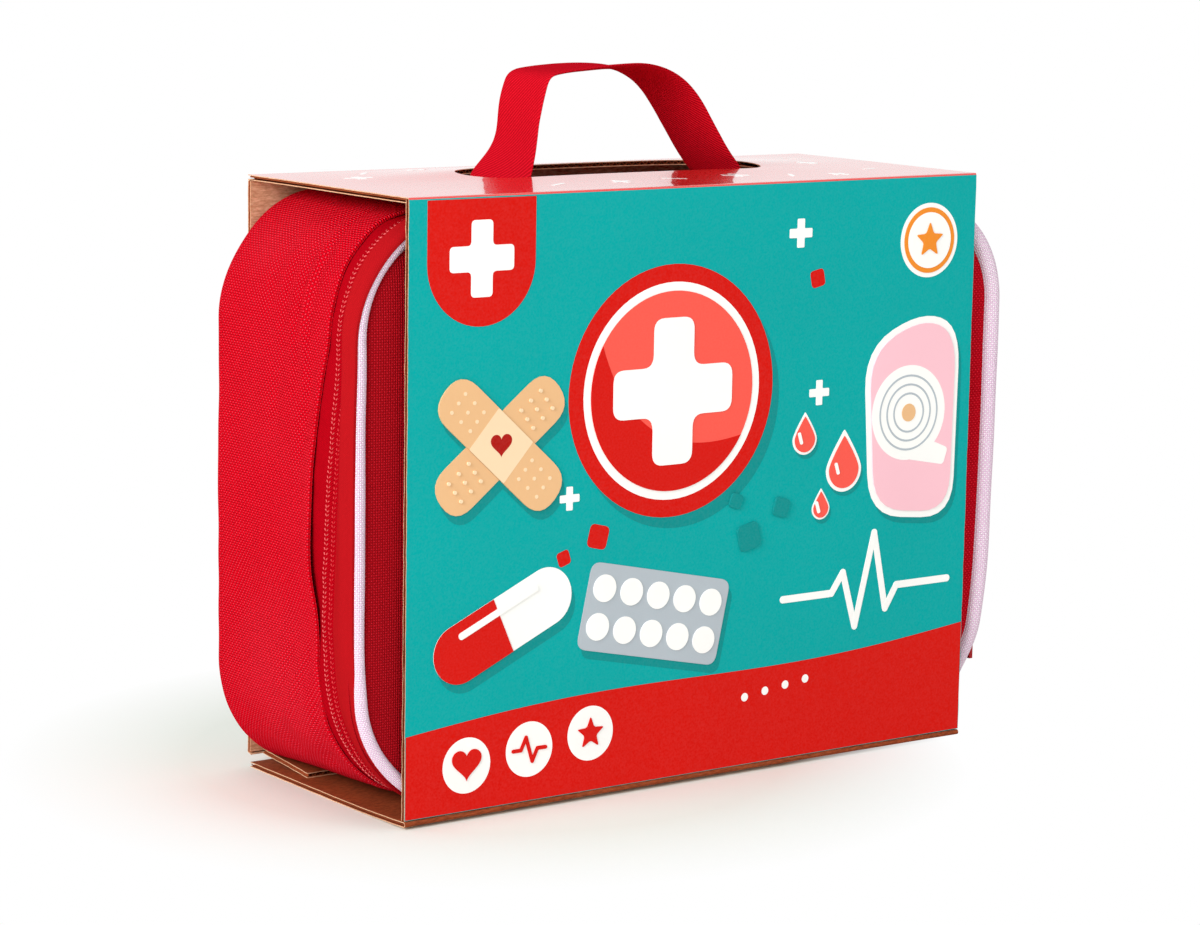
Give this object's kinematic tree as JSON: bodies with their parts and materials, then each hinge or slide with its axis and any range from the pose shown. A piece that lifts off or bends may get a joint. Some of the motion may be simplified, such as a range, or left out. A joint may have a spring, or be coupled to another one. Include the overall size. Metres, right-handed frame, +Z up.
{
  "type": "toy doctor's case",
  "caption": "Soft zipped play case with webbing handle, piped lid and toy medical instruments inside, standing in an open-ended corrugated card sleeve.",
  "frame": {"origin": "on the floor below the middle of the whole object, sleeve included", "axes": "+Z up, +X to the right seen from the front, +Y from the printed front to the back"},
  "size_m": [0.2774, 0.1006, 0.2439],
  "materials": {
    "print_teal_card": "satin print on white-lined board",
    "print_red_card": "gloss-varnished print",
    "kraft_card": "matt kraft",
    "red_oxford": "coarse woven, matt",
    "red_webbing": "twill woven, satin",
    "red_zip_tape": "fine twill tape",
    "white_piping": "plain woven over cord",
    "red_lining": "smooth lining",
    "foam_board": "closed-cell foam sheet",
    "red_coil": "nylon",
    "red_enamel": "gloss enamel on zinc",
    "pad_paper": "uncoated",
    "grey_card": "grey board",
    "white_felt": "soft nonwoven",
    "beech": "clear-lacquered beech",
    "red_lacquer": "gloss red lacquer on wood",
    "white_lacquer": "gloss white lacquer on wood",
    "silver_lacquer": "satin silver paint",
    "grey_lacquer": "satin grey lacquer on wood",
    "clear_button": "clear moulded",
    "white_rope": "braided cord",
    "white_vinyl": "soft moulded vinyl",
    "pink_vinyl": "translucent soft vinyl",
    "red_vinyl": "gloss moulded"
  },
  "bodies": {
    "case": {"case_gusset": "red_oxford", "case_back_panel": "red_oxford", "case_back_stiffener": "foam_board", "case_lining": "red_lining", "lid_hinge_strip": "red_oxford", "zip_tape_body": "red_zip_tape", "zip_coil_body": "red_coil", "zip_end_stops": "red_enamel", "handle_anchors": "red_webbing", "note_pad_sheets": "pad_paper", "note_pad_card": "grey_card", "bandage_cuff": "white_felt", "ointment_tube": "beech", "ointment_cap": "red_lacquer", "syringe_barrel": "white_lacquer", "syringe_nozzle": "silver_lacquer", "syringe_flange": "red_lacquer", "thermometer_stick": "white_lacquer", "thermometer_tip": "silver_lacquer", "thermometer_column": "red_vinyl", "gauge_block": "grey_lacquer", "gauge_ferrules": "grey_lacquer", "bulb": "red_lacquer", "bulb_nozzle": "red_lacquer", "pump_barrel": "white_lacquer", "pump_caps": "red_lacquer", "rope_short": "white_rope", "rope_long": "white_rope", "stethoscope_tube": "white_vinyl", "chest_piece": "red_vinyl", "chest_stem": "red_vinyl", "stethoscope_fork": "white_vinyl", "binaural_spring": "white_vinyl", "ear_sleeve_left": "pink_vinyl", "ear_sleeve_right": "pink_vinyl", "ear_tube_left": "red_vinyl", "ear_tube_right": "red_vinyl", "ear_tips": "white_vinyl"},
    "sleeve": {"sleeve_top": "print_red_card", "sleeve_back": "kraft_card", "sleeve_bottom": "kraft_card", "sleeve_lock_flap": "kraft_card"},
    "sleeve_front": {"sleeve_front": "print_teal_card"},
    "lid": {"lid_front_panel": "red_oxford", "lid_stiffener": "foam_board", "lid_lining": "red_lining", "lid_piping": "white_piping", "lid_side_strip": "red_oxford", "zip_tape_lid": "red_zip_tape", "zip_coil_lid": "red_coil"},
    "handle": {"handle_strap": "red_webbing"},
    "slider": {"zip_slider": "red_enamel"},
    "pull": {"zip_pull": "red_enamel"},
    "plunger": {"plunger_rod": "beech", "plunger_knob": "red_lacquer"},
    "button": {"thermometer_slider": "clear_button"}
  },
  "joints": [
    {"name": "sleeve_slide", "type": "slide", "parent": "case", "child": "sleeve", "axis": [1, 0, 0], "range_m": [0, 0.3], "deforming": ["handle_strap"]},
    {"name": "lid_hinge", "type": "hinge", "parent": "case", "child": "lid", "pos_m": [0, -0.04565, 0.0066], "axis": [1, 0, 0], "range_deg": [0, 90]},
    {"name": "sleeve_front_crease", "type": "hinge", "parent": "sleeve", "child": "sleeve_front", "pos_m": [0, -0.04945, 0.0009], "axis": [1, 0, 0], "range_deg": [0, 90]},
    {"name": "handle_swing", "type": "hinge", "parent": "case", "child": "handle", "pos_m": [0, 0.006, 0.198], "axis": [1, 0, 0], "range_deg": [-12, 12]},
    {"name": "zip_slide", "type": "slide", "parent": "case", "child": "slider", "axis": [0, 0, 1], "range_m": [0, 0.1]},
    {"name": "pull_hinge", "type": "hinge", "parent": "slider", "child": "pull", "pos_m": [0.1366, -0.03535, 0.052], "axis": [0, -1, 0], "range_deg": [0, 150]},
    {"name": "plunger_slide", "type": "slide", "parent": "case", "child": "plunger", "axis": [1, 0, 0], "range_m": [0, 0.02]},
    {"name": "button_slide", "type": "slide", "parent": "case", "child": "button", "axis": [0, 0, 1], "range_m": [0, 0.075]}
  ],
  "couplings": [
    {"joint": "sleeve_front_crease", "follows": "lid_hinge", "ratio": 1}
  ]
}
